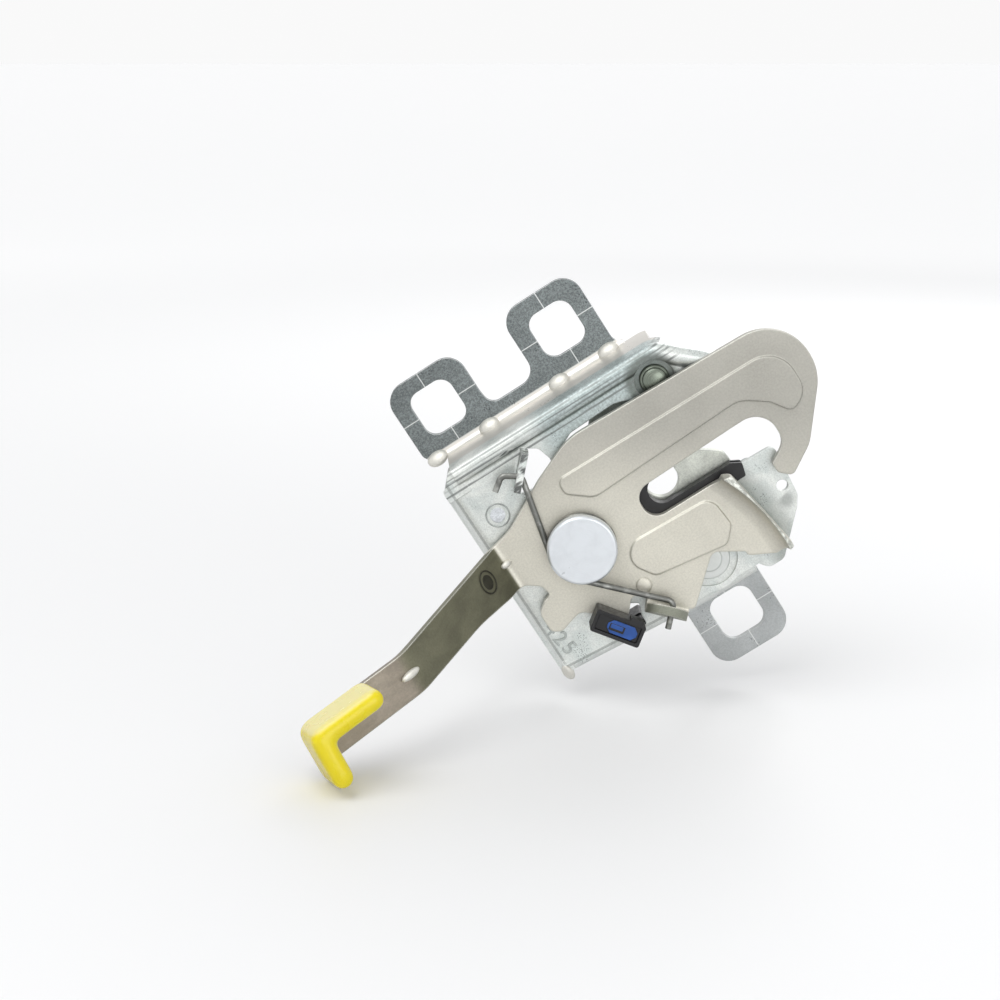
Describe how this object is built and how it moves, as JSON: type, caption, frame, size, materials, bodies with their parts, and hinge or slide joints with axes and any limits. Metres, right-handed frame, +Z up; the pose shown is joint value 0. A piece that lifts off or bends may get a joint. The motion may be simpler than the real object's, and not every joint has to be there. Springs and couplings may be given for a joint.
{
  "type": "bonnet latch",
  "caption": "Bonnet latch: pressed zinc housing with ears, striker slot, claw and pawl inside, sprung safety hook folded into a hand lever with a yellow cap, and a switch with connector.",
  "frame": {"origin": "on the rear face of the ears, midway in height between the two left ear holes and 10 mm right of them", "axes": "+Z up along the striker slot, +Y into the vehicle, out of the rear face; the lever stands out to -Y"},
  "size_m": [0.1265, 0.0988, 0.1682],
  "materials": {
    "zinc_sheet": "satin",
    "zinc_back": "satin",
    "zinc_hook": "satin",
    "yellow_plastic": "satin",
    "bright_rivet": "satin",
    "washer_steel": "satin",
    "spring_steel": "satin",
    "claw_steel": "satin",
    "pin_steel": "satin",
    "black_plastic": "satin",
    "plunger_plastic": "satin",
    "contact_brass": "satin",
    "blue_plastic": "satin"
  },
  "bodies": {
    "base": {"housing": "zinc_sheet", "back_plate": "zinc_back", "hook_rivet": "bright_rivet", "hook_washer": "washer_steel", "hook_spring": "spring_steel", "claw_rivet": "pin_steel", "claw_spring": "spring_steel", "pawl_rivet": "pin_steel", "pawl_spring": "spring_steel", "slot_liner": "black_plastic", "switch_case": "black_plastic", "switch_cover": "black_plastic", "plunger_spring": "spring_steel", "contact_blade": "contact_brass", "connector_shroud": "black_plastic", "connector_insert": "blue_plastic", "terminal_pins": "contact_brass"},
    "hook": {"safety_hook": "zinc_hook", "lever_cap": "yellow_plastic"},
    "claw": {"claw": "claw_steel"},
    "pawl": {"pawl": "claw_steel"},
    "plunger": {"switch_plunger": "plunger_plastic"}
  },
  "joints": [
    {"name": "hook_swing", "type": "hinge", "parent": "base", "child": "hook", "pos_m": [0.044, -0.017, -0.00585], "axis": [0, 1, 0], "range_deg": [-20, 0], "stiffness_Nm_per_rad": 0.5, "springref_deg": 40.11, "deforming": ["hook_spring"]},
    {"name": "claw_turn", "type": "hinge", "parent": "base", "child": "claw", "pos_m": [0.0683, -0.011, 0.02265], "axis": [0, 1, 0], "range_deg": [0, 48], "deforming": ["claw_spring"]},
    {"name": "pawl_turn", "type": "hinge", "parent": "base", "child": "pawl", "pos_m": [0.0153, -0.011, 0.03715], "axis": [0, 1, 0], "range_deg": [0, 25], "stiffness_Nm_per_rad": 0.05, "springref_deg": -28.65, "deforming": ["pawl_spring"]},
    {"name": "plunger_slide", "type": "slide", "parent": "base", "child": "plunger", "axis": [0, 0, 1], "range_m": [0, 0.0015], "deforming": ["plunger_spring"]}
  ],
  "couplings": [
    {"joint": "pawl_turn", "follows": "claw_turn", "ratio": 0.52},
    {"joint": "plunger_slide", "follows": "claw_turn", "m_per_rad": 0.001789}
  ]
}
